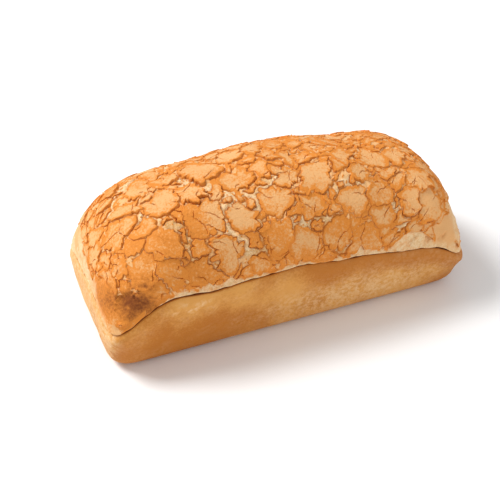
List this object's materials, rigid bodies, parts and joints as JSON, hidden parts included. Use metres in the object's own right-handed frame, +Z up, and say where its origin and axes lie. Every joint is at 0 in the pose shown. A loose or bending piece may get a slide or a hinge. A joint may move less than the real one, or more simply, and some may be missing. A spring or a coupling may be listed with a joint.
{
  "type": "tin loaf",
  "caption": "Tin loaf of bread with a domed top of crackled golden crust plates, pale splits and smooth tin-baked sides on a flat base",
  "frame": {"origin": "middle of the base's bounding rectangle, on the surface that the loaf stands on", "axes": "X along the loaf, +Z up; the side shown to the front of the picture faces -Y and the end shown there faces -X"},
  "size_m": [0.2625, 0.1167, 0.1111],
  "materials": {
    "crust": "matt baked crust: golden tan tin-baked sides, orange-brown crackled plates, cream dough in the splits"
  },
  "bodies": {
    "root": {"loaf": "crust"}
  },
  "joints": []
}
